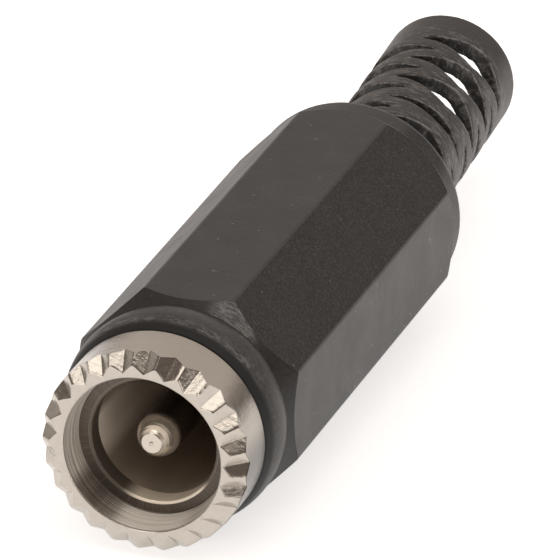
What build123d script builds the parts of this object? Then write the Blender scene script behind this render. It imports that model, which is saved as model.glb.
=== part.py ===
from build123d import *
import os
from math import cos, pi, radians, sin, sqrt, tan

# In-line DC power socket, in millimetres: a serrated metal barrel with a centre pin, screwed into an
# octagonal moulded cover whose slotted tail is the strain relief for the cable.
# The axis runs along Y with the mouth towards -Y, and the part lies on one flat of the cover at Z = 0.
# While the pieces are modelled, Y is the depth behind the front face and the axis is the Y axis itself.

# Plug that the socket takes
plug_diameter = 5.5

# Barrel: turned and plated, with a serrated flange in front and a spun rim behind
plug_clearance = 0.38
lip_length = 1.0
mouth_step = 0.82
mouth_taper = 0.2
mouth_depth = 1.65
rim_wall = 1.15
flange_length = 3.1
flange_chamfer = 0.15
bore_relief = 0.07
bore_length = 8.35
seat_step = 0.5
rear_wall = 0.6
spun_rim_reach = 0.3
spun_rim_length = 0.4

# Serrations: V-grooves on the slant across the front edge of the flange, a little off its centre
groove_count = 25
first_groove_angle = 3.0
groove_offset = 0.1
groove_rim = 0.22
groove_slant = 47.6
groove_angle = 125.0

# Centre pin, riveted through the insulator
pin_diameter = 2.1
pin_recess = 1.35
pin_nose_length = 1.05
pin_end_diameter = 0.9
pin_shoulder = 0.3
rivet_overhang = 0.45
rivet_head_length = 0.5

# Insulator between the pin and the barrel
insulator_thickness = 2.0
boss_wall = 1.0
boss_length = 1.1

# Sheet metal contacts
sheet_thickness = 0.4
spring_thickness = 0.3
spring_width = 2.2
spring_preload = 0.25
spring_contact_depth = 5.5
spring_tip_depth = 3.3
tag_width = 2.8
tag_set_back = 3.1
clamp_length = 3.0
clamp_leg_length = 4.5
pin_tag_width = 2.6
pin_tag_drop = 2.2
pin_tag_length = 5.0
wire_hole_diameter = 1.2
wire_hole_inset = 1.2

# Cover body: an octagon between a crowned collar in front and a round shoulder behind
cover_wall = 1.15
cover_length = 27.9
flat_edge_radius = 0.35
collar_step = 0.03
collar_nose_drop = 0.35
collar_length = 2.5
crown_depth = 1.1
neck_drop = 0.25
front_chamfer_angle = 35.0
rear_chamfer_angle = 26.5
shoulder_step = 0.05
shoulder_length = 1.6
shoulder_edge_radius = 0.9
shoulder_edge_turn = 60.0
socket_run_out = 0.7
cavity_step = 0.15
throat_length = 4.0

# Strain relief: a slotted tube with a set to one side, as it is soft
cable_bore_diameter = 5.4
relief_wall = 0.73
relief_length = 15.33
relief_lean = 2.31
relief_lean_direction = -53.8
root_length = 1.8
end_ring_length = 1.85
slot_pitch = 2.35
slot_width = 1.9
slot_flat = 0.8
slot_length = 5.8
slot_depth = 1.0
slot_columns = 4
first_column_angle = 43.0

# Clearances between pieces, on the radius
thread_clearance = 0.05
seat_clearance = 0.05
rivet_clearance = 0.03
strip_clearance = 0.1

# Barrel radii and depths that follow
lip_radius = plug_diameter / 2 + plug_clearance
mouth_radius = lip_radius + mouth_step
flange_radius = mouth_radius + rim_wall
bore_radius = lip_radius + bore_relief
seat_radius = bore_radius + seat_step
spun_rim_radius = seat_radius - spun_rim_reach
thread_radius = seat_radius + rear_wall
lip_end = mouth_depth + lip_length
bore_end = lip_end + bore_length
ring_start = bore_end + insulator_thickness
ring_end = ring_start + sheet_thickness
barrel_end = ring_end + spun_rim_length
groove_root_radius = mouth_radius + groove_rim

# Inner piece radii and depths that follow
pin_radius = pin_diameter / 2
shank_radius = pin_radius - pin_shoulder
rivet_radius = shank_radius + rivet_overhang
rivet_hole_radius = shank_radius + rivet_clearance
boss_radius = rivet_hole_radius + boss_wall
boss_end = ring_end + boss_length
pin_tag_end = boss_end + sheet_thickness
disc_radius = seat_radius - seat_clearance
spring_top = sqrt(bore_radius ** 2 - (spring_width / 2) ** 2) - strip_clearance
tag_top = sqrt(spun_rim_radius ** 2 - (tag_width / 2) ** 2) - strip_clearance

# Cover radii and depths that follow
socket_radius = thread_radius + thread_clearance
apothem = socket_radius + cover_wall
corner_radius = apothem / cos(pi / 8)
collar_radius = apothem - collar_step
collar_nose_radius = apothem - collar_nose_drop
neck_radius = apothem - neck_drop
shoulder_radius = apothem - shoulder_step
cavity_radius = socket_radius - cavity_step
collar_end = flange_length + collar_length
cover_end = flange_length + cover_length
shoulder_start = cover_end - shoulder_length
socket_end = barrel_end + socket_run_out
cavity_end = cover_end - throat_length
cable_bore_radius = cable_bore_diameter / 2
relief_radius = cable_bore_radius + relief_wall
relief_end = cover_end + relief_length
relief_reach = relief_length * cos(radians(relief_lean)) + relief_radius * sin(radians(relief_lean))
overall_length = cover_end + relief_reach


def turned(*points):
    """A solid of revolution about the axis, from (radius, depth) points."""
    return revolve(make_face(Polyline(*points, close=True)), Axis.Y)


def rod(radius, start, end):
    """A plain round bar on the axis."""
    return turned((0, start), (radius, start), (radius, end), (0, end))


def block(width, start, end, low, high):
    """A rectangular block centred on X, between two depths and two heights."""
    return Pos(0, (start + end) / 2, (low + high) / 2) * Box(width, end - start, high - low)


def make_groove():
    """The cutter of one serration groove, at the top of the flange."""
    slant = radians(groove_slant)
    root = Plane(origin=(0, 0, groove_root_radius), x_dir=(1, 0, 0), z_dir=(0, cos(slant), sin(slant)))
    height = -flange_length
    half_width = flange_length * tan(radians(groove_angle / 2))
    section = make_face(Polyline((0, 0), (half_width, height), (-half_width, height), close=True))
    return extrude(root * section, amount=flange_length, both=True)


def make_front_barrel():
    """The stepped tube with its serrated flange, its rear rim spun over the contact ring."""
    barrel = turned(
        (mouth_radius, 0),
        (flange_radius, 0),
        (flange_radius, flange_length - flange_chamfer),
        (flange_radius - flange_chamfer, flange_length),
        (thread_radius, flange_length),
        (thread_radius, barrel_end),
        (spun_rim_radius, barrel_end),
        (spun_rim_radius, ring_end),
        (seat_radius, ring_end),
        (seat_radius, bore_end),
        (bore_radius, bore_end),
        (bore_radius, lip_end),
        (lip_radius, lip_end),
        (lip_radius, mouth_depth),
        (mouth_radius - mouth_taper, mouth_depth),
    )
    groove = make_groove()
    angles = [first_groove_angle + number * 360 / groove_count for number in range(groove_count)]
    return barrel - [Pos(-groove_offset, 0, 0) * groove.rotate(Axis.Y, angle) for angle in angles]


def make_insulator():
    """A moulded disc with a rear boss, slotted at the top for the contact spring."""
    disc = rod(disc_radius, bore_end, ring_start)
    boss = rod(boss_radius, ring_start, boss_end)
    hole = rod(rivet_hole_radius, bore_end, boss_end)
    slot_width = spring_width + 2 * strip_clearance
    slot_floor = spring_top - spring_thickness - strip_clearance
    slot = block(slot_width, bore_end, ring_start, slot_floor, slot_floor + seat_radius)
    return disc + boss - hole - slot


def make_centre_pin():
    """A turned pin with a rounded nose and a flat end, headed over behind its solder tag."""
    end_radius = pin_end_diameter / 2
    nose_end = pin_recess + pin_nose_length
    head_end = pin_tag_end + rivet_head_length
    nose = TangentArc((pin_radius, nose_end), (end_radius, pin_recess), tangent=(0, -1))
    outline = Polyline(
        (pin_radius, nose_end),
        (pin_radius, bore_end),
        (shank_radius, bore_end),
        (shank_radius, pin_tag_end),
        (rivet_radius, pin_tag_end),
        (rivet_radius, head_end),
        (0, head_end),
        (0, pin_recess),
        (end_radius, pin_recess),
    )
    return revolve(make_face([nose, outline]), Axis.Y)


def make_pin_tag():
    """A stamped solder tag under the rivet head, bent back along the cavity."""
    tag_end = boss_end + pin_tag_length
    plate = block(pin_tag_width, boss_end, pin_tag_end, -pin_tag_drop, rivet_radius)
    lug = block(pin_tag_width, boss_end, tag_end, -pin_tag_drop, sheet_thickness - pin_tag_drop)
    rivet_hole = rod(rivet_hole_radius, boss_end, pin_tag_end)
    wire_drill = Cylinder(wire_hole_diameter / 2, 3 * sheet_thickness)
    wire_hole = Pos(0, tag_end - wire_hole_inset, -pin_tag_drop) * wire_drill
    return plate + lug - rivet_hole - wire_hole


def make_sleeve_contact():
    """One folded strip: a ring on the insulator, a spring in the bore, a solder tag and a cord clamp."""
    ring = rod(disc_radius, ring_start, ring_end) - rod(boss_radius + seat_clearance, ring_start, ring_end)
    contact_top = plug_diameter / 2 - spring_preload + spring_thickness
    path = [(ring_end, spring_top), (bore_end, spring_top)]
    path += [(spring_contact_depth, contact_top), (spring_tip_depth, spring_top)]
    underside = [(depth, height - spring_thickness) for depth, height in reversed(path)]
    leaf = Plane.YZ * make_face(Polyline(*path, *underside, close=True))
    spring = extrude(leaf, spring_width / 2, both=True)
    tag_low = tag_top - sheet_thickness
    tag_end = cavity_end - tag_set_back
    clamp_start = tag_end - clamp_length
    clamp_width = 2 * (sqrt(cavity_radius ** 2 - tag_top ** 2) - strip_clearance)
    tag = block(tag_width, ring_start, tag_end, tag_low, tag_top)
    leg_end = tag_top - clamp_leg_length
    clamp = block(clamp_width, clamp_start, tag_end, leg_end, tag_top)
    clamp -= block(clamp_width - 2 * sheet_thickness, clamp_start, tag_end, leg_end, tag_low)
    wire_drill = Cylinder(wire_hole_diameter / 2, 3 * sheet_thickness)
    wire_hole = Pos(0, clamp_start - wire_hole_inset, tag_top) * wire_drill
    return ring + spring + tag + clamp - wire_hole


def make_octagon():
    """The flats with their rounded edges, chamfered by a cone at each end."""
    outside = corner_radius + flat_edge_radius
    rise = (outside - neck_radius) / tan(radians(front_chamfer_angle))
    fall = (outside - shoulder_radius) / tan(radians(rear_chamfer_angle))
    base = Plane(origin=(0, collar_end, 0), x_dir=(1, 0, 0), z_dir=(0, 1, 0))
    outline = base * RegularPolygon(apothem, 8, major_radius=False, rotation=22.5)
    prism = extrude(outline, amount=shoulder_start - collar_end)
    prism = fillet(prism.edges().filter_by(Axis.Y), flat_edge_radius)
    chamfers = turned(
        (0, collar_end),
        (neck_radius, collar_end),
        (outside, collar_end + rise),
        (outside, shoulder_start - fall),
        (shoulder_radius, shoulder_start),
        (0, shoulder_start),
    )
    return prism & chamfers


def make_collar():
    """The crowned front collar, on a core that reaches into the octagon."""
    crown = ThreePointArc(
        (collar_nose_radius, flange_length),
        (collar_radius, flange_length + crown_depth),
        (neck_radius, collar_end),
    )
    core = Polyline(
        (neck_radius, collar_end),
        (0, collar_end),
        (0, flange_length),
        (collar_nose_radius, flange_length),
    )
    return revolve(make_face([crown, core]), Axis.Y)


def make_shoulder():
    """The round rear end of the body, its edge taken off in two bevels."""
    edge_start = cover_end - shoulder_edge_radius * sin(radians(shoulder_edge_turn))
    edge_centre = shoulder_radius - shoulder_edge_radius
    edge = []
    for share in (0.5, 1.0):
        turn = radians(shoulder_edge_turn * share)
        radius = edge_centre + shoulder_edge_radius * cos(turn)
        edge.append((radius, edge_start + shoulder_edge_radius * sin(turn)))
    return turned(
        (0, shoulder_start),
        (shoulder_radius, shoulder_start),
        (shoulder_radius, edge_start),
        *edge,
        (0, cover_end),
    )


def make_slot():
    """The cutter of one slot with tapered ends, straight in from the top to a flat floor, at depth zero."""
    floor = relief_radius - slot_depth
    tip = slot_length / 2
    side = slot_flat / 2
    edge = slot_width / 2
    near_side = [(-tip, 0), (-side, -edge), (side, -edge)]
    far_side = [(tip, 0), (side, edge), (-side, edge)]
    outline = make_face(Polyline(*near_side, *far_side, close=True))
    return Pos(0, 0, floor) * extrude(outline, relief_radius)


def make_slots():
    """All the slots: columns round the tube, every other column half a pitch further forward."""
    slot = make_slot()
    last_middle = relief_end - end_ring_length - slot_width / 2
    run = last_middle - slot_width / 2 - cover_end - root_length
    slots = []
    for column in range(slot_columns):
        angle = first_column_angle + column * 360 / slot_columns
        stagger = column % 2 * slot_pitch / 2
        for level in range(int((run - stagger) / slot_pitch) + 1):
            depth = last_middle - stagger - level * slot_pitch
            slots.append(Pos(0, depth, 0) * slot.rotate(Axis.Y, angle))
    return slots


def make_cover():
    """The whole moulding: body and strain relief outside, socket, tag cavity and cable bore inside."""
    lean_x = sin(radians(relief_lean_direction))
    lean_z = cos(radians(relief_lean_direction))
    lean_axis = Axis((0, cover_end, 0), (lean_z, 0, -lean_x))
    tube = rod(relief_radius, shoulder_start, relief_end) - make_slots()
    cable_bore = rod(cable_bore_radius, cavity_end, relief_end)
    body = make_collar() + make_octagon() + make_shoulder() + tube.rotate(lean_axis, relief_lean)
    cavity = turned(
        (0, flange_length),
        (socket_radius, flange_length),
        (socket_radius, socket_end),
        (cavity_radius, socket_end),
        (cavity_radius, cavity_end),
        (0, cavity_end),
    )
    return body - cavity - cable_bore.rotate(lean_axis, relief_lean)


os.makedirs("parts", exist_ok=True)
lay_down = Pos(0, -overall_length / 2, apothem)
pieces = {
    "front_barrel": make_front_barrel(),
    "centre_pin": make_centre_pin(),
    "insulator": make_insulator(),
    "pin_tag": make_pin_tag(),
    "sleeve_contact": make_sleeve_contact(),
    "cover": make_cover(),
}
for node, piece in pieces.items():
    export_step(lay_down * piece, f"parts/{node}.step")
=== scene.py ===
"""In-line DC power socket: the turned metal front, the moulded cover with its strain relief, the studio."""
import math

import bpy
from mathutils import Matrix, Vector


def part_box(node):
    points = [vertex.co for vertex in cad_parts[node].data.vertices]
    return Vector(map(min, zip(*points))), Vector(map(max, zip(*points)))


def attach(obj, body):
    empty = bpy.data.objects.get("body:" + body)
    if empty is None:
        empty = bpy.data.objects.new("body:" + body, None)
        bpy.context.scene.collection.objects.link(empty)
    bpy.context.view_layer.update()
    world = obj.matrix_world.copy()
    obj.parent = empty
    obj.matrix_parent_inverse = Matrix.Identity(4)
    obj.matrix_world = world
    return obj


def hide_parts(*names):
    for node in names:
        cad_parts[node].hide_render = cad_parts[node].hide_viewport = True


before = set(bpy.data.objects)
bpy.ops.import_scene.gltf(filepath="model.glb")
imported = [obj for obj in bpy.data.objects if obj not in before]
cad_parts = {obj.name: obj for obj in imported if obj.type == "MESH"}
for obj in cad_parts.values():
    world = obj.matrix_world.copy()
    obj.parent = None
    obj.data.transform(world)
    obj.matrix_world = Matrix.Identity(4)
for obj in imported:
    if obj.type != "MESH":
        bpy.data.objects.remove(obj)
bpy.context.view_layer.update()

# Lengths below are in millimetres, and depths are counted from the front face of the barrel
MM = 0.001
barrel_low, barrel_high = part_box("front_barrel")
cover_low, cover_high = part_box("cover")
pin_low, pin_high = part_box("centre_pin")
FRONT_Y = barrel_low[1]
AXIS_Z = (cover_low[2] + cover_high[2]) / 2
FLANGE_RADIUS = (barrel_high[0] - barrel_low[0]) / 2 / MM
BARREL_END = (barrel_high[1] - FRONT_Y) / MM
COVER_START = (cover_low[1] - FRONT_Y) / MM
APOTHEM = (cover_high[0] - cover_low[0]) / 2 / MM
PIN_START = (pin_low[1] - FRONT_Y) / MM
PIN_END = (pin_high[1] - FRONT_Y) / MM

# Barrel
MOUTH_RADIUS = 3.95
MOUTH_FLOOR_RADIUS = 3.75
MOUTH_DEPTH = 1.65
LIP_RADIUS = 3.13
LIP_END = 2.65
BORE_RADIUS = 3.2
BORE_END = 11.0
SEAT_RADIUS = 3.7
RING_END = 13.4
SPUN_RIM_RADIUS = 3.4
THREAD_RADIUS = 4.3
FLANGE_REAR_CHAMFER = 0.15
EDGE_BREAK = 0.04
BARREL_SMOOTH_ANGLE = 22

# Serrations, and where their two rings start before they are drawn along the grooves
GROOVES = 25
FIRST_GROOVE = math.radians(3.0)
GROOVE_OFFSET = 0.1
GROOVE_ROOT_RADIUS = 4.17
GROOVE_SLANT = math.radians(47.6)
GROOVE_HALF_ANGLE = math.radians(62.5)
GROOVE_COLUMNS = 16
RIDGE_ROUNDING = 0.14
UNCUT_EDGE_STEP = 0.25
UNCUT_RUN_OUT = 0.6

# Centre pin
PIN_RADIUS = 1.05
PIN_END_RADIUS = 0.49
PIN_NOSE_LENGTH = 0.92
PIN_NOSE_STEPS = 14
PIN_SHOULDER_SLOPE = math.radians(16.0)
PIN_PIP_RADIUS = 0.11
PIN_PIP_HEIGHT = 0.05
PIN_PIP_TOP = 80
PIN_PIP_STEPS = 5
PIN_SEGMENTS = 128
PIN_SMOOTH_ANGLE = 14
SHANK_RADIUS = 0.75
RIVET_LENGTH = 0.5
RIVET_RADIUS = 1.2
RIVET_EDGE_RADIUS = 0.3
RIVET_EDGE_STEPS = 6

# Cover body
FLATS = 8
FLAT_TURN = 2 * math.pi / FLATS
SOCKET_RADIUS = 4.35
SOCKET_END = 14.5
CAVITY_RADIUS = 4.2
CAVITY_END = 27.0
THROAT_RADIUS = 2.75
COLLAR_NOSE_RADIUS = 5.15
COLLAR_NOSE_BREAK = 0.06
COLLAR_RADIUS = 5.47
COLLAR_CROWN = 4.2
COLLAR_END = 5.6
COLLAR_STEPS = 14
NECK_RADIUS = 5.25
FRONT_CHAMFER = math.radians(35.0)
REAR_CHAMFER = math.radians(26.5)
UNCUT_CHAMFER = 0.5
FLAT_EDGE_RADIUS = 0.35
SHOULDER_RADIUS = 5.485
SHOULDER_START = 29.4
SHOULDER_EDGE_RADIUS = 0.9
SHOULDER_EDGE_TURN = math.radians(60.0)
SHOULDER_EDGE_STEPS = 8
COVER_END = 31.0
FLAT_COLUMNS = 15
EDGE_COLUMNS = 5
BODY_BEVEL = 0.12
BODY_BEVEL_SEGMENTS = 3
BODY_BEVEL_ANGLE = math.radians(16)
COVER_SMOOTH_ANGLE = 30

# Strain relief
RELIEF_RADIUS = 3.43
RELIEF_WALL = 0.73
RELIEF_LENGTH = 15.285
RELIEF_INSET = 1.0
RELIEF_LEAN = math.radians(3.02)
RELIEF_HINGE = 3.6
RELIEF_LEAN_DIRECTION = math.radians(-53.8)
RELIEF_COLUMNS = 96
RELIEF_GRAIN = 0.06
RELIEF_SOFTENING = 0.5
RELIEF_SOFTENING_STEPS = 11
RELIEF_KEPT_SHARE = 0.3
RELIEF_ROOT_LENGTH = 1.8
END_RING_LENGTH = 1.85

# Slots of the strain relief: four columns, each counted from the end ring, with one slot pressed nearly shut
SLOT_PITCH = 2.35
SLOT_WIDTH = 1.9
SLOT_FLOOR_WIDTH = 0.8
SLOT_LENGTH = 6.0
SLOT_DEPTH = 1.5
SLOT_VERTICES = 32
SLOT_TIP_POWER = 1.15
NEAR_SLOT_ANGLE = math.radians(43.0)
PRESSED_SLOT = (0, 3)
PRESSED_OPENNESS = 0.4

# Modelling: how close counts as the same ring or point, and how pieces are cut and united
RING_TOLERANCE = 0.004
WELD_DISTANCE = 0.0001
SOLVER = "EXACT"

# Colours of the black moulding
PLASTIC_DARK = (0.011, 0.010, 0.0095, 1)
PLASTIC_LIGHT = (0.022, 0.0205, 0.019, 1)
PLASTIC_SPECKLE = (0.040, 0.037, 0.035, 1)
PLASTIC_FLAT_SHADE = (0.003, 0.003, 0.003, 1)
PLASTIC_GRAIN = (0.050, 0.048, 0.049, 1)
PLASTIC_DUST = (0.14, 0.13, 0.12, 1)
PLASTIC_SCUFF = (0.050, 0.048, 0.047, 1)
PLASTIC_SHADE = (0.006, 0.0056, 0.0054, 1)
PLASTIC_FLECK = (0.125, 0.12, 0.116, 1)
PLASTIC_WORN_AND_HIGHLIGHT = (0.26, 0.25, 0.245, 1)

# Colours of the plated barrel
PLATE_DARK = (0.47, 0.435, 0.39, 1)
PLATE_LIGHT = (0.56, 0.525, 0.47, 1)
BAND_TONE = (0.40, 0.372, 0.335, 1)
BAND_SHADE = (0.17, 0.158, 0.145, 1)
WALL_DARK = (0.54, 0.49, 0.42, 1)
WALL_LIGHT = (0.98, 0.93, 0.86, 1)
WALL_REFLECTION_DARK = (0.11, 0.085, 0.07, 1)
STEP_SHADE_DEEP = (0.090, 0.075, 0.062, 1)
STEP_SHADE_PALE = (0.135, 0.112, 0.093, 1)
LIP_SHADE = (0.12, 0.10, 0.08, 1)
LIP_LIT = (0.95, 0.85, 0.70, 1)
BORE_REFLECTION_DARK = (0.36, 0.29, 0.23, 1)
BORE_REFLECTION_LIGHT = (0.66, 0.56, 0.45, 1)
BORE_GLINT = (1.0, 0.90, 0.77, 1)

# Colours of the pin, of the pieces inside and of the floor
PIN_DARK = (0.56, 0.51, 0.45, 1)
PIN_LIGHT = (0.66, 0.61, 0.54, 1)
PIN_BRIGHT = (0.90, 0.83, 0.73, 1)
PIN_SHAFT_SHADE = (0.20, 0.165, 0.13, 1)
TIN_DARK = (0.55, 0.52, 0.45, 1)
TIN_LIGHT = (0.72, 0.69, 0.62, 1)
INSULATOR_DARK = (0.14, 0.10, 0.07, 1)
INSULATOR_LIGHT = (0.22, 0.16, 0.11, 1)
FLOOR_DARK = (0.8, 0.8, 0.8, 1)
FLOOR_LIGHT = (0.84, 0.84, 0.84, 1)
FLOOR_GLOW = (1.0, 0.98, 0.97, 1)
FLOOR_GLOW_STRENGTH = 0.68

# Camera: where the photograph was taken from, far off with a long lens
CAMERA_AZIMUTH = math.radians(19.7)
CAMERA_ELEVATION = math.radians(24.7)
IMAGE_SIZE = 560
FOCAL_PIXELS = 10000
FRONT_PIXEL = (141.3, 455.3)
PIXELS_PER_MM = 21.3
SENSOR = 36.0
CLIP_NEAR = 0.01
CLIP_FAR = 10

# Studio, in metres: each softbox has a name, a place, a size, a brightness seen head-on and a colour
FLOOR_SIZE = 3.0
PANEL_WHITE = (1.0, 0.92, 0.86)
SOFTBOX_WHITE = (1.0, 0.95, 0.9)
SOFTBOXES = (
    ("back_panel", (-0.14, 0.60, 0.38), (1.4, 0.72), 0.70, PANEL_WHITE),
    ("top_softbox", (0.05, -0.16, 0.50), (0.80, 0.28), 2.0, SOFTBOX_WHITE),
    ("left_softbox", (-0.60, -0.02, 0.22), (0.40, 0.30), 0.42, SOFTBOX_WHITE),
    ("low_softbox", (0.32, -0.45, 0.06), (0.35, 0.12), 2.0, SOFTBOX_WHITE),
    ("front_softbox", (-0.23, -0.51, 0.42), (0.26, 0.22), 1.7, SOFTBOX_WHITE),
    ("high_softbox", (0.42, 0.30, 0.35), (0.22, 0.22), 1.5, SOFTBOX_WHITE),
)
SURROUND_COLOR = (1.0, 0.80, 0.68, 1)
SURROUND_STRENGTH = 0.15


def row_point(radius, depth, angle):
    """A point of the row frame, from a radius and depth in millimetres and an angle from the top to +X."""
    return Vector((
        radius * math.sin(angle) * MM,
        FRONT_Y + depth * MM,
        AXIS_Z + radius * math.cos(angle) * MM,
    ))


def polar(point):
    """Radius and depth in millimetres and angle of a point of the row frame."""
    x = point[0] / MM
    z = (point[2] - AXIS_Z) / MM
    return math.hypot(x, z), (point[1] - FRONT_Y) / MM, math.atan2(x, z)


def arc(centre_radius, centre_depth, size_radius, size_depth, start, end, steps):
    """Points of an elliptical arc in the (radius, depth) plane, by degrees from the radius direction."""
    points = []
    for step in range(steps + 1):
        angle = math.radians(start + (end - start) * step / steps)
        radius = centre_radius + size_radius * math.cos(angle)
        depth = centre_depth + size_depth * math.sin(angle)
        points.append((radius, depth))
    return points


def bow(first, middle, last, steps):
    """Points of the circular arc through three (radius, depth) points."""
    a, b, c = Vector(first), Vector(middle), Vector(last)
    ab, ac = b - a, c - a
    cross = 2 * (ab.x * ac.y - ab.y * ac.x)
    centre = a + Vector((
        (ac.y * ab.length_squared - ab.y * ac.length_squared) / cross,
        (ab.x * ac.length_squared - ac.x * ab.length_squared) / cross,
    ))
    start = math.atan2(a.y - centre.y, a.x - centre.x)
    sweep = (math.atan2(c.y - centre.y, c.x - centre.x) - start + math.pi) % (2 * math.pi) - math.pi
    size = (a - centre).length
    angles = [start + sweep * step / steps for step in range(steps + 1)]
    return [(centre.x + size * math.cos(angle), centre.y + size * math.sin(angle)) for angle in angles]


def deselect_all():
    """Leaves edit mode and selects nothing."""
    if bpy.context.object and bpy.context.object.mode != "OBJECT":
        bpy.ops.object.mode_set(mode="OBJECT")
    bpy.ops.object.select_all(action="DESELECT")


def make_active(piece):
    """Selects one piece alone and makes it the active one."""
    deselect_all()
    piece.select_set(True)
    bpy.context.view_layer.objects.active = piece


def pull_rings(name, profile, segments, filled=False):
    """A turned shape: one ring is added at the first point of the profile and extruded through the others."""
    deselect_all()
    radius, depth = profile[0]
    bpy.ops.mesh.primitive_circle_add(
        vertices=segments,
        radius=radius * MM,
        fill_type="NGON" if filled else "NOTHING",
        location=(0, FRONT_Y + depth * MM, AXIS_Z),
        rotation=(math.pi / 2, 0, 0),
    )
    piece = bpy.context.object
    piece.name = name
    piece.data.name = name
    bpy.ops.object.transform_apply(location=True, rotation=True, scale=True)
    bpy.ops.object.mode_set(mode="EDIT")
    bpy.ops.mesh.select_all(action="SELECT")
    for next_radius, next_depth in profile[1:]:
        bpy.ops.mesh.extrude_region_move(TRANSFORM_OT_translate={"value": (0, (next_depth - depth) * MM, 0)})
        growth = next_radius / radius
        centre = (0, FRONT_Y + next_depth * MM, AXIS_Z)
        bpy.ops.transform.resize(value=(growth, 1, growth), center_override=centre)
        radius, depth = next_radius, next_depth
    return piece


def close_ends(bridge):
    """Bridges the first ring to the last, or covers the ring that is still open, and turns faces outwards."""
    bpy.ops.mesh.select_all(action="DESELECT")
    bpy.ops.mesh.select_mode(type="EDGE")
    bpy.ops.mesh.select_non_manifold(extend=False)
    if bridge:
        bpy.ops.mesh.bridge_edge_loops()
    else:
        bpy.ops.mesh.edge_face_add()
    bpy.ops.mesh.select_all(action="SELECT")
    bpy.ops.mesh.normals_make_consistent(inside=False)
    bpy.ops.object.mode_set(mode="OBJECT")


def ring_at(piece, radius, depth):
    """The vertices of one ring, found by its radius and depth, each with its angle."""
    found = []
    for vertex in piece.data.vertices:
        here_radius, here_depth, angle = polar(vertex.co)
        if abs(here_radius - radius) < RING_TOLERANCE and abs(here_depth - depth) < RING_TOLERANCE:
            found.append((vertex, angle))
    return found


def set_columns(piece, angles):
    """Moves the evenly spaced columns of a turned shape to the given angles."""
    step = 2 * math.pi / len(angles)
    for vertex in piece.data.vertices:
        radius, depth, angle = polar(vertex.co)
        vertex.co = row_point(radius, depth, angles[round(angle / step) % len(angles)])


def apply_modifier(piece, kind, **settings):
    """Adds a modifier to a piece and applies it."""
    make_active(piece)
    modifier = piece.modifiers.new(kind.title(), kind)
    for key, value in settings.items():
        setattr(modifier, key, value)
    bpy.ops.object.modifier_apply(modifier=modifier.name)


def combine(piece, operation, other):
    """Cuts another closed piece from a piece, or unites it with the piece, and removes the other."""
    apply_modifier(piece, "BOOLEAN", operation=operation, solver=SOLVER, object=other)
    bpy.data.objects.remove(other, do_unlink=True)


def smooth(piece, angle):
    """Shades a piece smooth, with a sharp edge wherever it turns by more than an angle in degrees."""
    make_active(piece)
    bpy.ops.object.shade_smooth_by_angle(angle=math.radians(angle))


def groove_aside(angle, step):
    """Angle from the nearest groove's root, with the ridges between the grooves rounded over."""
    from_root = abs((angle + step / 2) % step - step / 2)
    from_ridge = step / 2 - from_root
    return max(0.0, step / 2 - math.hypot(from_ridge, RIDGE_ROUNDING * step / 2))


def make_barrel():
    """The turned barrel. The rings on both sides of the serrations are drawn along the V-grooves."""
    edge_ring = (GROOVE_ROOT_RADIUS + UNCUT_EDGE_STEP, 0)
    run_out_ring = (FLANGE_RADIUS, UNCUT_RUN_OUT)
    profile = [
        (MOUTH_RADIUS + EDGE_BREAK, 0),
        edge_ring,
        run_out_ring,
        (FLANGE_RADIUS, COVER_START - FLANGE_REAR_CHAMFER),
        (FLANGE_RADIUS - FLANGE_REAR_CHAMFER, COVER_START),
        (THREAD_RADIUS, COVER_START),
        (THREAD_RADIUS, BARREL_END),
        (SPUN_RIM_RADIUS, BARREL_END),
        (SPUN_RIM_RADIUS, RING_END),
        (SEAT_RADIUS, RING_END),
        (SEAT_RADIUS, BORE_END),
        (BORE_RADIUS, BORE_END),
        (BORE_RADIUS, LIP_END),
        (LIP_RADIUS + EDGE_BREAK, LIP_END),
        (LIP_RADIUS, LIP_END - EDGE_BREAK),
        (LIP_RADIUS, MOUTH_DEPTH + EDGE_BREAK),
        (LIP_RADIUS + EDGE_BREAK, MOUTH_DEPTH),
        (MOUTH_FLOOR_RADIUS - EDGE_BREAK, MOUTH_DEPTH),
        (MOUTH_FLOOR_RADIUS, MOUTH_DEPTH - EDGE_BREAK),
        (MOUTH_RADIUS, EDGE_BREAK),
    ]
    piece = pull_rings("barrel", profile, GROOVES * GROOVE_COLUMNS)
    close_ends(bridge=True)
    step = 2 * math.pi / GROOVES
    flank = 1 / math.tan(GROOVE_HALF_ANGLE)
    rise, run = math.cos(GROOVE_SLANT), math.sin(GROOVE_SLANT)
    offset = Vector((-GROOVE_OFFSET * MM, 0, 0))
    for vertex, angle in ring_at(piece, *edge_ring):
        aside = groove_aside(angle, step)
        reach = GROOVE_ROOT_RADIUS * rise / (math.cos(aside) * rise - math.sin(aside) * flank)
        vertex.co = row_point(reach, 0, FIRST_GROOVE + angle) + offset
    for vertex, angle in ring_at(piece, *run_out_ring):
        aside = groove_aside(angle, step)
        ahead = GROOVE_OFFSET * math.sin(FIRST_GROOVE + angle)
        reach = ahead + math.sqrt(FLANGE_RADIUS ** 2 - GROOVE_OFFSET ** 2 + ahead ** 2)
        cut = (reach * math.cos(aside) - GROOVE_ROOT_RADIUS) * rise - reach * math.sin(aside) * flank
        vertex.co = row_point(reach, cut / run, FIRST_GROOVE + angle) + offset
    smooth(piece, BARREL_SMOOTH_ANGLE)
    return piece


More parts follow.
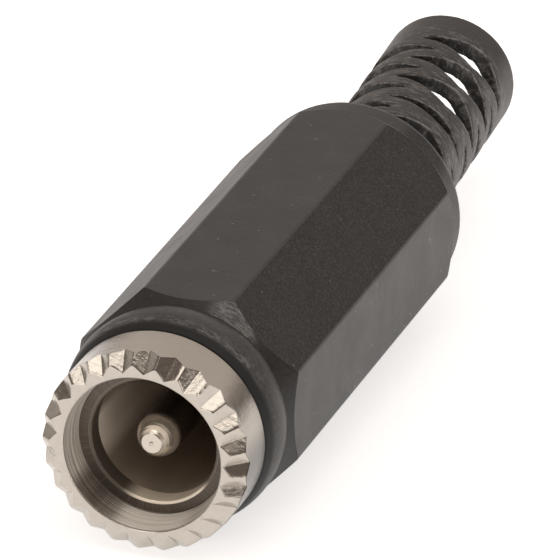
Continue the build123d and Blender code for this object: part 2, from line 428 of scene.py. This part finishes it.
def make_pin():
    """The contact pin, from the pip on its flat end to its riveted head."""
    nose_end = PIN_START + PIN_NOSE_LENGTH
    end_slope = 2 * math.atan((PIN_RADIUS - PIN_END_RADIUS) / PIN_NOSE_LENGTH) - PIN_SHOULDER_SLOPE
    nose_round = PIN_NOSE_LENGTH / (math.sin(end_slope) - math.sin(PIN_SHOULDER_SLOPE))
    nose_radius = PIN_RADIUS - nose_round * math.cos(PIN_SHOULDER_SLOPE)
    nose_depth = nose_end + nose_round * math.sin(PIN_SHOULDER_SLOPE)
    nose_turn = (-math.degrees(end_slope), -math.degrees(PIN_SHOULDER_SLOPE))
    rivet_start = PIN_END - RIVET_LENGTH
    rivet_edge = (RIVET_RADIUS - RIVET_EDGE_RADIUS, PIN_END - RIVET_EDGE_RADIUS)
    profile = arc(0, PIN_START, PIN_PIP_RADIUS, -PIN_PIP_HEIGHT, PIN_PIP_TOP, 0, PIN_PIP_STEPS)
    profile += arc(nose_radius, nose_depth, nose_round, nose_round, *nose_turn, PIN_NOSE_STEPS)
    profile += [
        (PIN_RADIUS, BORE_END),
        (SHANK_RADIUS, BORE_END),
        (SHANK_RADIUS, rivet_start),
        (RIVET_RADIUS, rivet_start),
    ]
    profile += arc(*rivet_edge, RIVET_EDGE_RADIUS, RIVET_EDGE_RADIUS, 0, 90, RIVET_EDGE_STEPS)
    piece = pull_rings("contact_pin", profile, PIN_SEGMENTS, filled=True)
    close_ends(bridge=False)
    smooth(piece, PIN_SMOOTH_ANGLE)
    return piece


def octagon_radius(angle):
    """Radius of the octagon with rounded edges, and flats at the top, bottom and sides."""
    from_corner = angle % FLAT_TURN - FLAT_TURN / 2
    hub = (APOTHEM - FLAT_EDGE_RADIUS) / math.cos(FLAT_TURN / 2)
    across = hub * math.sin(from_corner)
    if abs(from_corner) < edge_angle():
        return hub * math.cos(from_corner) + math.sqrt(FLAT_EDGE_RADIUS ** 2 - across ** 2)
    return APOTHEM / math.cos(FLAT_TURN / 2 - abs(from_corner))


def edge_angle():
    """Half the angle at the axis that a rounded edge of the octagon takes."""
    flat_half = (APOTHEM - FLAT_EDGE_RADIUS) * math.tan(FLAT_TURN / 2)
    return FLAT_TURN / 2 - math.atan2(flat_half, APOTHEM)


def body_columns():
    """Angles of the body's columns: evenly across each flat, and close together round each edge."""
    half_edge = edge_angle()
    half_flat = FLAT_TURN / 2 - half_edge
    angles = []
    for flat in range(FLATS):
        middle = flat * FLAT_TURN
        angles += [middle + half_flat * (2 * k / (FLAT_COLUMNS - 1) - 1) for k in range(FLAT_COLUMNS)]
        edge = middle + FLAT_TURN / 2
        angles += [edge + half_edge * (2 * (k + 1) / (EDGE_COLUMNS + 1) - 1) for k in range(EDGE_COLUMNS)]
    return angles


def make_body():
    """The octagonal body from the collar to the shoulder, hollow, with its front and rear chamfers."""
    columns = body_columns()
    front_ring = (APOTHEM, COLLAR_END + UNCUT_CHAMFER)
    rear_ring = (APOTHEM, SHOULDER_START - UNCUT_CHAMFER)
    edge_centre = (
        SHOULDER_RADIUS - SHOULDER_EDGE_RADIUS,
        COVER_END - SHOULDER_EDGE_RADIUS * math.sin(SHOULDER_EDGE_TURN),
    )
    edge_size = (SHOULDER_EDGE_RADIUS, SHOULDER_EDGE_RADIUS)
    edge_turn = (0, math.degrees(SHOULDER_EDGE_TURN))
    crown_start = (COLLAR_NOSE_RADIUS, COVER_START + COLLAR_NOSE_BREAK)
    crown = (COLLAR_RADIUS, COLLAR_CROWN)
    profile = [(SOCKET_RADIUS, COVER_START), (COLLAR_NOSE_RADIUS - COLLAR_NOSE_BREAK, COVER_START)]
    profile += bow(crown_start, crown, (NECK_RADIUS, COLLAR_END), COLLAR_STEPS)
    profile += [front_ring, rear_ring, (SHOULDER_RADIUS, SHOULDER_START)]
    profile += arc(*edge_centre, *edge_size, *edge_turn, SHOULDER_EDGE_STEPS)
    profile += [
        (THROAT_RADIUS, COVER_END),
        (THROAT_RADIUS, CAVITY_END),
        (CAVITY_RADIUS, CAVITY_END),
        (CAVITY_RADIUS, SOCKET_END),
        (SOCKET_RADIUS, SOCKET_END),
    ]
    piece = pull_rings("moulded_cover", profile, len(columns))
    close_ends(bridge=True)
    step = 2 * math.pi / len(columns)
    for vertex, angle in ring_at(piece, *front_ring):
        radius = octagon_radius(columns[round(angle / step) % len(columns)])
        depth = COLLAR_END + (radius - NECK_RADIUS) / math.tan(FRONT_CHAMFER)
        vertex.co = row_point(radius, depth, angle)
    for vertex, angle in ring_at(piece, *rear_ring):
        radius = octagon_radius(columns[round(angle / step) % len(columns)])
        depth = SHOULDER_START - (radius - SHOULDER_RADIUS) / math.tan(REAR_CHAMFER)
        vertex.co = row_point(radius, depth, angle)
    set_columns(piece, columns)
    apply_modifier(
        piece,
        "BEVEL",
        width=BODY_BEVEL * MM,
        segments=BODY_BEVEL_SEGMENTS,
        limit_method="ANGLE",
        angle_limit=BODY_BEVEL_ANGLE,
    )
    return piece


def slot_places(first_column):
    """Depth, angle and openness of each slot in two opposite columns, from the end ring forwards."""
    places = []
    for column in (first_column, first_column + 2):
        angle = NEAR_SLOT_ANGLE + column * math.pi / 2
        stagger = column % 2 * SLOT_PITCH / 2
        middle = COVER_END + RELIEF_LENGTH - END_RING_LENGTH - SLOT_WIDTH / 2 - stagger
        row = 0
        while middle - SLOT_WIDTH / 2 > COVER_END + RELIEF_ROOT_LENGTH:
            openness = PRESSED_OPENNESS if (column, row) == PRESSED_SLOT else 1.0
            places.append((middle, angle, openness))
            middle -= SLOT_PITCH
            row += 1
    return places


def make_plug():
    """A lens-shaped plug for one slot, narrow at the slot's floor and wider outwards."""
    deselect_all()
    bpy.ops.mesh.primitive_circle_add(vertices=SLOT_VERTICES, radius=SLOT_LENGTH / 2 * MM, fill_type="NGON")
    plug = bpy.context.object
    for vertex in plug.data.vertices:
        share = abs(vertex.co.x) / (SLOT_LENGTH / 2 * MM)
        half_width = SLOT_FLOOR_WIDTH / 2 * MM * (1 - share ** SLOT_TIP_POWER)
        vertex.co.y = math.copysign(half_width, vertex.co.y)
    bpy.ops.object.mode_set(mode="EDIT")
    bpy.ops.mesh.select_all(action="SELECT")
    bpy.ops.mesh.extrude_region_move(TRANSFORM_OT_translate={"value": (0, 0, RELIEF_RADIUS * MM)})
    flare = 1 + (SLOT_WIDTH / SLOT_FLOOR_WIDTH - 1) * RELIEF_RADIUS / SLOT_DEPTH
    bpy.ops.transform.resize(value=(1, flare, 1), center_override=(0, 0, RELIEF_RADIUS * MM))
    bpy.ops.mesh.select_all(action="SELECT")
    bpy.ops.mesh.remove_doubles(threshold=WELD_DISTANCE * MM)
    bpy.ops.mesh.normals_make_consistent(inside=False)
    bpy.ops.object.mode_set(mode="OBJECT")
    return plug


def make_slot_cutter(places):
    """The plugs of two columns: one is modelled, copied to each place and joined with the others."""
    plug = make_plug()
    copies = []
    for middle, angle, openness in places:
        make_active(plug)
        bpy.ops.object.duplicate()
        copy = bpy.context.object
        copy.location = row_point(RELIEF_RADIUS - SLOT_DEPTH, middle, angle)
        copy.rotation_euler = (0, angle, 0)
        copy.scale = (1, openness, 1)
        copies.append(copy)
    bpy.data.objects.remove(plug, do_unlink=True)
    for copy in copies:
        copy.select_set(True)
    bpy.context.view_layer.objects.active = copies[0]
    bpy.ops.object.join()
    bpy.ops.object.transform_apply(location=True, rotation=True, scale=True)
    return bpy.context.object


def make_relief():
    """The strain relief: a tube cut by staggered slots from four sides, softened and leaned to one side."""
    relief_start = COVER_END - RELIEF_INSET
    relief_end = COVER_END + RELIEF_LENGTH
    inside = RELIEF_RADIUS - RELIEF_WALL
    profile = [
        (RELIEF_RADIUS, relief_start),
        (RELIEF_RADIUS, relief_end),
        (inside, relief_end),
        (inside, relief_start),
    ]
    piece = pull_rings("strain_relief", profile, RELIEF_COLUMNS)
    close_ends(bridge=True)
    for first_column in (0, 1):
        combine(piece, "DIFFERENCE", make_slot_cutter(slot_places(first_column)))
    apply_modifier(piece, "REMESH", mode="VOXEL", voxel_size=RELIEF_GRAIN * MM)
    apply_modifier(piece, "SMOOTH", factor=RELIEF_SOFTENING, iterations=RELIEF_SOFTENING_STEPS)
    apply_modifier(piece, "DECIMATE", ratio=RELIEF_KEPT_SHARE)
    hinge = Vector((0, FRONT_Y + (COVER_END + RELIEF_HINGE) * MM, AXIS_Z))
    aside = Vector((math.sin(RELIEF_LEAN_DIRECTION), 0, math.cos(RELIEF_LEAN_DIRECTION)))
    lean = Matrix.Rotation(RELIEF_LEAN, 4, Vector((0, 1, 0)).cross(aside))
    piece.data.transform(Matrix.Translation(hinge) @ lean @ Matrix.Translation(-hinge))
    return piece


def make_cover():
    """The whole moulding: the relief is united with the body where it leaves the shoulder."""
    body = make_body()
    combine(body, "UNION", make_relief())
    smooth(body, COVER_SMOOTH_ANGLE)
    apply_modifier(body, "WEIGHTED_NORMAL", keep_sharp=True)
    return body


class Shade:
    """A value in a material's node tree: arithmetic on it adds Math nodes."""

    def __init__(self, tree, socket=None):
        self.tree = tree
        self.socket = socket

    def node(self, kind, settings=None, inputs=None, output=0):
        """Adds a node of a kind, with its settings first, then the values or links of its sockets."""
        made = self.tree.nodes.new("ShaderNode" + kind)
        for name, value in (settings or {}).items():
            setattr(made, name, value)
        for key, value in (inputs or {}).items():
            if isinstance(value, Shade):
                self.tree.links.new(value.socket, made.inputs[key])
            else:
                made.inputs[key].default_value = value
        return Shade(self.tree, made.outputs[output])

    def math(self, operation, *values):
        """A Math node on the given values."""
        return self.node("Math", {"operation": operation}, dict(enumerate(values)))

    def __add__(self, other):
        return self.math("ADD", self, other)

    def __radd__(self, other):
        return self.math("ADD", other, self)

    def __sub__(self, other):
        return self.math("SUBTRACT", self, other)

    def __rsub__(self, other):
        return self.math("SUBTRACT", other, self)

    def __mul__(self, other):
        return self.math("MULTIPLY", self, other)

    def __rmul__(self, other):
        return self.math("MULTIPLY", other, self)

    def between(self, low, high):
        """0 below low, 1 above high, and smooth between."""
        limits = {0: self, 1: low, 2: high, 3: 0.0, 4: 1.0}
        return self.node("MapRange", {"interpolation_type": "SMOOTHSTEP"}, limits)


class Finish:
    """A new material with its shader, and its surface point in millimetres from the barrel's front centre."""

    def __init__(self, name):
        self.material = bpy.data.materials.new(name)
        self.material.use_nodes = True
        self.tree = self.material.node_tree
        self.shader = self.tree.nodes["Principled BSDF"]
        base = Shade(self.tree)
        self.point = base.node("VectorMath", {"operation": "MULTIPLY_ADD"}, {
            0: base.node("TexCoord", output="Object"),
            1: (1 / MM,) * 3,
            2: (0, -FRONT_Y / MM, -AXIS_Z / MM),
        })
        self.depth = base.node("SeparateXYZ", inputs={0: self.point}, output="Y")
        self.flat = base.node("VectorMath", {"operation": "MULTIPLY"}, {0: self.point, 1: (1, 0, 1)})
        self.radius = base.node("VectorMath", {"operation": "LENGTH"}, {0: self.flat}, output="Value")

    def dot(self, first, second):
        """The dot product of two directions."""
        return first.node("VectorMath", {"operation": "DOT_PRODUCT"}, {0: first, 1: second}, output="Value")

    def outwards(self):
        """The direction straight away from the axis."""
        return self.point.node("VectorMath", {"operation": "NORMALIZE"}, {0: self.flat})

    def facing(self, direction):
        """1 where the surface faces straight in a direction, 0 where it runs along it."""
        return self.dot(self.point.node("TexCoord", output="Normal"), direction)

    def towards(self, x, z):
        """1 on the side of the axis that lies in a direction across it, -1 on the opposite side."""
        return self.dot(self.outwards(), (x, 0, z))

    def noise(self, scale, detail=2.0, roughness=0.5, stretch=(1, 1, 1)):
        """Noise of a scale in waves per millimetre, stretched along the axes."""
        place = self.point.node("VectorMath", {"operation": "MULTIPLY"}, {0: self.point, 1: stretch})
        settings = {"Vector": place, "Scale": scale, "Detail": detail, "Roughness": roughness}
        return place.node("TexNoise", inputs=settings)

    def noise_around(self, scale, detail):
        """Noise that changes with the angle about the axis alone."""
        around = self.point.node("VectorMath", {"operation": "DIVIDE"}, {0: self.flat, 1: self.radius})
        return around.node("TexNoise", inputs={"Vector": around, "Scale": scale, "Detail": detail})

    def mix(self, factor, first, second):
        """A colour between two colours."""
        colors = {"Factor": factor, 6: first, 7: second}
        return self.point.node("Mix", {"data_type": "RGBA"}, colors, output=2)

    def set(self, socket, value):
        """Gives an input of the shader a value, or links one to it."""
        if isinstance(value, Shade):
            self.tree.links.new(value.socket, self.shader.inputs[socket])
        else:
            self.shader.inputs[socket].default_value = value

    def bump(self, height, distance):
        """Relief of a height from 0 to 1 times a distance in millimetres."""
        normal = height.node("Bump", inputs={"Height": height, "Strength": 1.0, "Distance": distance * MM})
        self.set("Normal", normal)


def black_moulding():
    """Satin plastic with a fine grain and dust, one flat scuffed dull and painted darker as shade, painted
    shade at the collar's front, wear at the collar and on the ribs, painted highlights on the collar's crest
    and the rib edges, and a painted sheen on the upper collar.
    """
    finish = Finish("black_moulding")
    grain = finish.noise(7.0, 3.0, 0.65)
    fine_grain = finish.noise(11.0, 2.0, 0.6)
    cloud = finish.noise(0.5, 4.0, 0.6)
    smear = finish.noise(1.6, 4.0, 0.7, (1, 0.5, 1))
    mottle = finish.noise(4.0, 4.0, 0.75)
    streaks = finish.noise(2.2, 4.0, 0.75, (0.7, 2.0, 0.7))
    scratches = finish.noise(2.2, 5.0, 0.8, (0.9, 4.5, 0.9))
    dust = finish.noise(2.6, 1.0, 0.5).between(0.76, 0.79)

    # Where on the moulding a point lies
    collar = 1.0 - finish.depth.between(COLLAR_END - 0.6, COLLAR_END)
    collar_front = 1.0 - finish.depth.between(COVER_START + 0.3, COVER_START + 0.65)
    upper_collar = collar * (1.0 - collar_front) * finish.towards(0.6, 0.8).between(0.7, 0.95)
    crest = (1.0 - collar_front) * (1.0 - finish.depth.between(COVER_START + 0.7, COVER_START + 1.0))
    upper_crest = crest * finish.towards(0.1, 0.995).between(0.45, 0.8)
    forwards = finish.facing((0, -1, 0))
    chamfer = forwards.between(0.4, 0.5) * (1.0 - forwards.between(0.65, 0.75)) * (1.0 - collar)
    corner = chamfer * finish.towards(0.47, 0.883).between(0.955, 0.99)
    relief = finish.depth.between(COVER_END + 0.1, COVER_END + 0.5)
    end_ring = COVER_END + RELIEF_LENGTH - END_RING_LENGTH
    slotted = relief * (1.0 - finish.depth.between(end_ring, end_ring + 0.6))
    dull_and_shaded_flat = finish.facing((0.707, 0, 0.707)).between(0.95, 0.99) * (1.0 - relief)
    outwards = finish.facing(finish.outwards())
    edge = outwards.between(0.25, 0.6) * (1.0 - outwards.between(0.85, 0.98))

    # Wear, painted highlights and painted shade, and the colours laid over each other from the bare plastic
    # up
    # Painted highlight with some wear: the rounded rib edges are coloured pale where light would catch them.
    worn_and_highlit = slotted * edge * smear.between(0.36, 0.56)
    flecks = slotted * streaks.between(0.48, 0.66)
    scuffs = (collar + 0.25 * dull_and_shaded_flat) * mottle.between(0.45, 0.75)
    # Painted highlight in scratchy streaks along the upper side of the collar's crest.
    crest_highlight = 0.9 * upper_crest * scratches.between(0.46, 0.64)
    rubbed_corner = corner * scratches.between(0.35, 0.65)
    # Painted sheen in scratchy streaks on the upper right of the collar.
    collar_sheen = 0.22 * upper_collar * scratches.between(0.3, 0.6)
    rubbed_and_highlit = crest_highlight + rubbed_corner + collar_sheen
    dark = finish.mix(cloud, PLASTIC_DARK, PLASTIC_LIGHT)
    speckled = finish.mix(grain.between(0.5, 0.75), dark, PLASTIC_SPECKLE)
    # Painted shade: one flat is coloured darker, as if it lay in shade; its dullness and grain are real.
    shaded_flat = finish.mix(0.6 * dull_and_shaded_flat, speckled, PLASTIC_FLAT_SHADE)
    grainy = finish.mix(dull_and_shaded_flat * fine_grain.between(0.48, 0.66), shaded_flat, PLASTIC_GRAIN)
    dusty = finish.mix(dust, grainy, PLASTIC_DUST)
    scuffed = finish.mix(scuffs, dusty, PLASTIC_SCUFF)
    shaded = finish.mix(collar_front, scuffed, PLASTIC_SHADE)
    marked = finish.mix(flecks, shaded, PLASTIC_FLECK)
    finish.set("Base Color", finish.mix(0.8 * worn_and_highlit + 0.7 * rubbed_and_highlit, marked, PLASTIC_WORN_AND_HIGHLIGHT))
    finish.set("Roughness", 0.30 + 0.2 * cloud + 0.1 * grain + 0.22 * dull_and_shaded_flat + 0.2 * collar_front)
    finish.bump(grain + 0.5 * finish.noise(2.0, 2.0) + 0.8 * dull_and_shaded_flat * mottle, 0.014)
    return finish.material


def nickel_plate():
    """Plated all over: turning marks in the mouth, radial marks on its step, a brushed band, a dull bore;
    painted shade on the band's lower right, the step and most of the lip, painted light on the bottom of the
    mouth and the lip's lower right, a painted dark reflection in the mouth's lower left, and the bore painted
    brown as a reflection, with a painted glint.
    """
    finish = Finish("nickel_plate")

    # Where on the barrel a point lies
    inside = 1.0 - finish.radius.between(LIP_RADIUS + 0.12, LIP_RADIUS + 0.16)
    bore = inside * finish.depth.between(LIP_END - 0.05, LIP_END + 0.02)
    lip = inside * (1.0 - bore)
    mouth = (1.0 - finish.radius.between(MOUTH_RADIUS - 0.02, MOUTH_RADIUS + 0.01)) * (1.0 - inside)
    step = mouth * finish.depth.between(MOUTH_DEPTH - 0.06, MOUTH_DEPTH - 0.02)
    wall = mouth * (1.0 - step)
    cut_depth = finish.depth.between(0.02, 0.06) * (1.0 - finish.depth.between(0.7, 0.9))
    serrations = cut_depth * (1.0 - mouth) * (1.0 - inside)
    band = finish.radius.between(FLANGE_RADIUS - 0.05, FLANGE_RADIUS - 0.01)
    lit_lip = finish.towards(0.25, -0.97).between(0.70, 0.90)
    lit_wall = finish.towards(0.1, -0.995).between(0.85, 0.96)
    lit_bore = finish.towards(-0.985, -0.17).between(0.90, 0.99)
    # Painted shade on the lower right of the band.
    band_painted_shade = band * finish.towards(0.94, -0.34).between(0.80, 0.97)

    # Marks
    brushed = finish.noise(1.0, 3.0, 0.6, (0.25, 16.0, 0.25))
    turned = finish.noise(1.0, 3.0, 0.6, (0.12, 8.0, 0.12))
    radial = finish.noise_around(34.0, 2.0)
    patchy = finish.noise_around(5.0, 3.0)
    pits = finish.noise(3.0, 3.0, 0.6)
    drawn = finish.noise(0.5, 3.0, 0.5, (1, 0.25, 1))
    # Painted dark reflection on the lower left of the mouth wall.
    painted_dark_reflection = finish.towards(-0.67, -0.74).between(0.90, 0.985) * (0.55 + patchy * 0.6)

    # The colour of each surface, from the outside in, with painted light, shade and reflections
    plated = finish.mix(pits, PLATE_DARK, PLATE_LIGHT)
    banded = finish.mix(band, plated, BAND_TONE)
    outer = finish.mix(band_painted_shade, banded, BAND_SHADE)
    wall_marks = finish.mix(turned.between(0.3, 0.65), WALL_DARK, WALL_LIGHT)
    reflected_wall = finish.mix(painted_dark_reflection, wall_marks, WALL_REFLECTION_DARK)
    # Painted light on the bottom of the mouth wall.
    painted_lit_wall = finish.mix(0.7 * lit_wall, reflected_wall, WALL_LIGHT)
    # Painted shade: the step is coloured dark, with its radial marks in it.
    shaded_step_marks = finish.mix(radial.between(0.4, 0.75), STEP_SHADE_DEEP, STEP_SHADE_PALE)
    # Painted light on the lip's lower right, and painted shade on the rest of the lip.
    painted_lip_light = finish.mix(lit_lip, LIP_SHADE, LIP_LIT)
    # Painted reflection: the bore is coloured brown and darker, standing for the brown insulator it mirrors
    # in shade, with drawn marks in it.
    bore_reflection = finish.mix(drawn, BORE_REFLECTION_DARK, BORE_REFLECTION_LIGHT)
    bore_shade = finish.mix(lit_bore * (0.55 + patchy), bore_reflection, BORE_GLINT)
    with_wall = finish.mix(wall, outer, painted_lit_wall)
    with_step = finish.mix(step, with_wall, shaded_step_marks)
    with_lip = finish.mix(lip, with_step, painted_lip_light)
    finish.set("Base Color", finish.mix(bore, with_lip, bore_shade))

    # Tarnish takes from the metallic look
    mouth_tarnish = 0.6 * wall + 0.2 * wall * lit_wall + 0.3 * step
    bore_tarnish = 0.7 * lip + 0.6 * bore + 0.25 * bore * lit_bore
    finish.set("Metallic", 1.0 - mouth_tarnish - bore_tarnish)
    finish.set("Roughness", 0.17 + 0.1 * brushed + 0.1 * mouth + 0.15 * inside)
    cutting_marks = wall * turned * 1.6 + (1.0 - mouth) * brushed * 0.35 + radial * 0.12
    finish.bump(cutting_marks + pits * (0.3 + 0.5 * serrations), 0.03)
    return finish.material


def pin_plate():
    """Plated, with turning rings on the flat end, a bright nose and painted shade along the shaft."""
    finish = Finish("pin_plate")
    turns = finish.radius * 50.0
    rings = turns.math("SINE", turns)
    satin = finish.noise(1.5, 3.0)
    nose_end = PIN_START + PIN_NOSE_LENGTH
    shaft = finish.depth.between(nose_end + 0.05, nose_end + 0.5)
    flank = finish.radius.between(PIN_END_RADIUS, PIN_END_RADIUS + 0.15) * (1.0 - shaft)
    plated = finish.mix(satin, PIN_DARK, PIN_LIGHT)
    bright = finish.mix(flank, plated, PIN_BRIGHT)
    # Painted shade along the shaft, deep inside the bore.
    finish.set("Base Color", finish.mix(shaft, bright, PIN_SHAFT_SHADE))
    finish.set("Metallic", 1.0 - 0.14 * flank)
    finish.set("Roughness", 0.24 + 0.14 * satin - 0.10 * flank)
    finish.bump(rings * 0.4 + satin, 0.004)
    return finish.material


def tinned_sheet():
    """Satin tin on the stamped pieces inside."""
    finish = Finish("tinned_sheet")
    satin = finish.noise(1.2, 4.0)
    finish.set("Base Color", finish.mix(satin, TIN_DARK, TIN_LIGHT))
    finish.set("Metallic", 1.0)
    finish.set("Roughness", 0.3 + 0.2 * satin)
    return finish.material


def insulator_moulding():
    """Brown moulding of the insulator."""
    finish = Finish("insulator_moulding")
    grain = finish.noise(5.0, 3.0)
    finish.set("Base Color", finish.mix(grain, INSULATOR_DARK, INSULATOR_LIGHT))
    finish.set("Roughness", 0.45 + 0.2 * grain)
    return finish.material


def pale_floor():
    """A pale floor that glows a little, so that it reads as white."""
    finish = Finish("pale_floor")
    finish.set("Base Color", finish.mix(finish.noise(0.02, 2.0), FLOOR_DARK, FLOOR_LIGHT))
    finish.set("Roughness", 0.7)
    finish.set("Emission Color", FLOOR_GLOW)
    finish.set("Emission Strength", FLOOR_GLOW_STRENGTH)
    return finish.material


def dress(piece, material):
    """Gives a piece one material."""
    piece.data.materials.clear()
    piece.data.materials.append(material)


def place_camera():
    """The front face's centre falls on its pixel in the photograph, at the photograph's scale."""
    azimuth, elevation = CAMERA_AZIMUTH, CAMERA_ELEVATION
    right = Vector((math.cos(azimuth), math.sin(azimuth), 0))
    back = Vector((
        math.sin(azimuth) * math.cos(elevation),
        -math.cos(azimuth) * math.cos(elevation),
        math.sin(elevation),
    ))
    up = back.cross(right)
    centre = IMAGE_SIZE / 2
    aside = (centre - FRONT_PIXEL[0]) / PIXELS_PER_MM
    above = (FRONT_PIXEL[1] - centre) / PIXELS_PER_MM
    distance = FOCAL_PIXELS / PIXELS_PER_MM
    bpy.ops.object.camera_add()
    camera = bpy.context.object
    camera.name = "camera"
    camera.data.sensor_width = SENSOR
    camera.data.lens = FOCAL_PIXELS / IMAGE_SIZE * SENSOR
    camera.data.clip_start = CLIP_NEAR
    camera.data.clip_end = CLIP_FAR
    place = Vector((0, FRONT_Y, AXIS_Z)) + (right * aside + up * above + back * distance) * MM
    turn = Matrix((right, up, back)).transposed().to_4x4()
    camera.matrix_world = Matrix.Translation(place) @ turn
    bpy.context.scene.camera = camera


def add_softbox(name, place, size, brightness, color):
    """A rectangular area light aimed at the middle of the part, by its brightness seen head-on."""
    deselect_all()
    bpy.ops.object.light_add(type="AREA", location=place)
    light = bpy.context.object
    light.name = name
    light.data.shape = "RECTANGLE"
    light.data.size, light.data.size_y = size
    light.data.energy = brightness * math.pi * size[0] * size[1]
    light.data.color = color
    aim = Vector((0, 0, AXIS_Z)) - Vector(place)
    light.rotation_euler = aim.to_track_quat("-Z", "Y").to_euler()


def make_studio():
    """The floor, the softboxes and a faint warm light from all round."""
    deselect_all()
    bpy.ops.mesh.primitive_plane_add(size=FLOOR_SIZE, location=(0, 0, 0))
    floor = bpy.context.object
    floor.name = "floor"
    dress(floor, pale_floor())
    for softbox in SOFTBOXES:
        add_softbox(*softbox)
    world = bpy.context.scene.world or bpy.data.worlds.new("studio")
    bpy.context.scene.world = world
    world.use_nodes = True
    background = world.node_tree.nodes["Background"]
    background.inputs["Color"].default_value = SURROUND_COLOR
    background.inputs["Strength"].default_value = SURROUND_STRENGTH
    bpy.context.scene.view_settings.view_transform = "Standard"


barrel = make_barrel()
dress(barrel, nickel_plate())
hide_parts("front_barrel")
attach(barrel, "root")

pin = make_pin()
dress(pin, pin_plate())
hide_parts("centre_pin")
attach(pin, "root")

cover = make_cover()
dress(cover, black_moulding())
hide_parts("cover")
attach(cover, "root")

dress(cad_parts["insulator"], insulator_moulding())
tinned = tinned_sheet()
dress(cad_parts["pin_tag"], tinned)
dress(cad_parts["sleeve_contact"], tinned)

make_studio()
place_camera()
